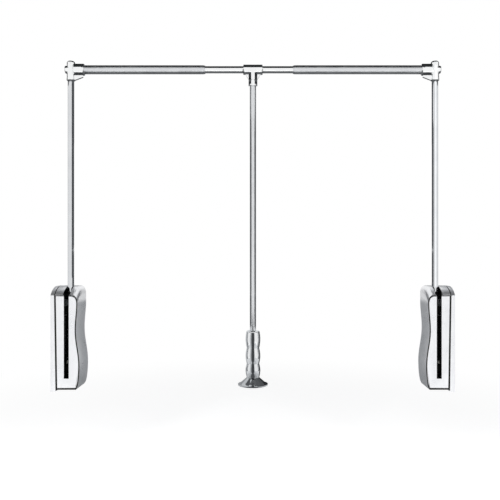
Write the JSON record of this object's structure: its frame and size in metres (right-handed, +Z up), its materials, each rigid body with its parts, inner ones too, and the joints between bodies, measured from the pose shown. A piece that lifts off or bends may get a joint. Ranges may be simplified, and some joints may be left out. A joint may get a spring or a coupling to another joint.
{
  "type": "pull-down clothes rail",
  "caption": "Pull-down wardrobe rail: a telescopic hanging rail on sprung swinging arms between side housings, brought down by a central pull rod with a grip.",
  "frame": {"origin": "middle of the part between the two housings, at the level of their feet, in the plane of the upright arms", "axes": "+X to the user's right along the rail, +Y away from the user into the wardrobe, +Z up"},
  "size_m": [1.02, 0.0766, 0.845],
  "materials": {
    "silver_plastic": "silver-white satin moulding",
    "chrome": "polished",
    "satin_steel": "satin chrome plate",
    "zinc_steel": "zinc plated",
    "dark_steel": "black oxide",
    "black_plastic": "moulded",
    "white_plastic": "moulded",
    "rubber": "matt"
  },
  "bodies": {
    "left_housing": {"left_tray": "silver_plastic", "left_base_plate": "zinc_steel", "left_cover": "silver_plastic", "left_cover_screw_lower": "zinc_steel", "left_cover_screw_upper": "zinc_steel", "left_pivot_shaft": "zinc_steel", "left_retaining_clip": "dark_steel", "left_pivot_bush_outer": "white_plastic", "left_pivot_bush_inner": "white_plastic", "left_rack_guide": "white_plastic", "left_lift_spring": "dark_steel", "left_damper_cylinder": "black_plastic", "left_spring_bracket": "zinc_steel", "left_stop_bracket": "zinc_steel", "left_stop_buffer": "rubber"},
    "right_housing": {"right_tray": "silver_plastic", "right_base_plate": "zinc_steel", "right_cover": "silver_plastic", "right_cover_screw_lower": "zinc_steel", "right_cover_screw_upper": "zinc_steel", "right_pivot_shaft": "zinc_steel", "right_retaining_clip": "dark_steel", "right_pivot_bush_outer": "white_plastic", "right_pivot_bush_inner": "white_plastic", "right_rack_guide": "white_plastic", "right_lift_spring": "dark_steel", "right_damper_cylinder": "black_plastic", "right_spring_bracket": "zinc_steel", "right_stop_bracket": "zinc_steel", "right_stop_buffer": "rubber"},
    "left_frame": {"left_geared_lever": "dark_steel", "left_arm_tube": "chrome", "left_arm_pin": "zinc_steel", "left_elbow": "chrome", "left_elbow_cap": "chrome", "left_set_screw": "zinc_steel", "left_rail_outer_tube": "satin_steel", "left_rail_guide_bush": "black_plastic"},
    "right_frame": {"right_geared_lever": "dark_steel", "right_arm_tube": "chrome", "right_arm_pin": "zinc_steel", "right_elbow": "chrome", "right_elbow_cap": "chrome", "right_set_screw": "zinc_steel", "right_rail_outer_tube": "satin_steel", "right_rail_guide_bush": "black_plastic"},
    "rail_core": {"rail_inner_tube": "chrome"},
    "handle": {"tee_fitting": "chrome", "tee_set_screw": "zinc_steel", "pull_rod": "satin_steel", "grip": "chrome", "bell": "chrome", "rod_end_screw": "zinc_steel"},
    "left_rack_unit": {"left_rack": "black_plastic", "left_damper_rod": "chrome"},
    "right_rack_unit": {"right_rack": "black_plastic", "right_damper_rod": "chrome"}
  },
  "joints": [
    {"name": "swing", "type": "hinge", "parent": "left_housing", "child": "left_frame", "pos_m": [-0.47, 0, 0.052], "axis": [1, 0, 0], "range_deg": [0, 105], "stiffness_Nm_per_rad": 20, "springref_deg": -17.19},
    {"name": "width", "type": "slide", "parent": "left_housing", "child": "right_housing", "axis": [1, 0, 0], "range_m": [-0.17, 0.13]},
    {"name": "right_frame_slide", "type": "slide", "parent": "left_frame", "child": "right_frame", "axis": [1, 0, 0], "range_m": [-0.17, 0.13]},
    {"name": "rail_core_slide", "type": "slide", "parent": "left_frame", "child": "rail_core", "axis": [1, 0, 0], "range_m": [-0.096, 0.074]},
    {"name": "handle_turn", "type": "hinge", "parent": "rail_core", "child": "handle", "pos_m": [0, 0, 0.823], "axis": [1, 0, 0], "continuous": true},
    {"name": "left_rack_slide", "type": "slide", "parent": "left_housing", "child": "left_rack_unit", "axis": [0, 0, 1], "range_m": [0, 0.0295], "deforming": ["left_lift_spring"]},
    {"name": "right_rack_slide", "type": "slide", "parent": "right_housing", "child": "right_rack_unit", "axis": [0, 0, 1], "range_m": [0, 0.0295], "deforming": ["right_lift_spring"]}
  ],
  "couplings": [
    {"joint": "right_frame_slide", "follows": "width", "ratio": 1},
    {"joint": "rail_core_slide", "follows": "width", "ratio": 0.557},
    {"joint": "left_rack_slide", "follows": "swing", "m_per_rad": 0.016},
    {"joint": "right_rack_slide", "follows": "swing", "m_per_rad": 0.016}
  ]
}
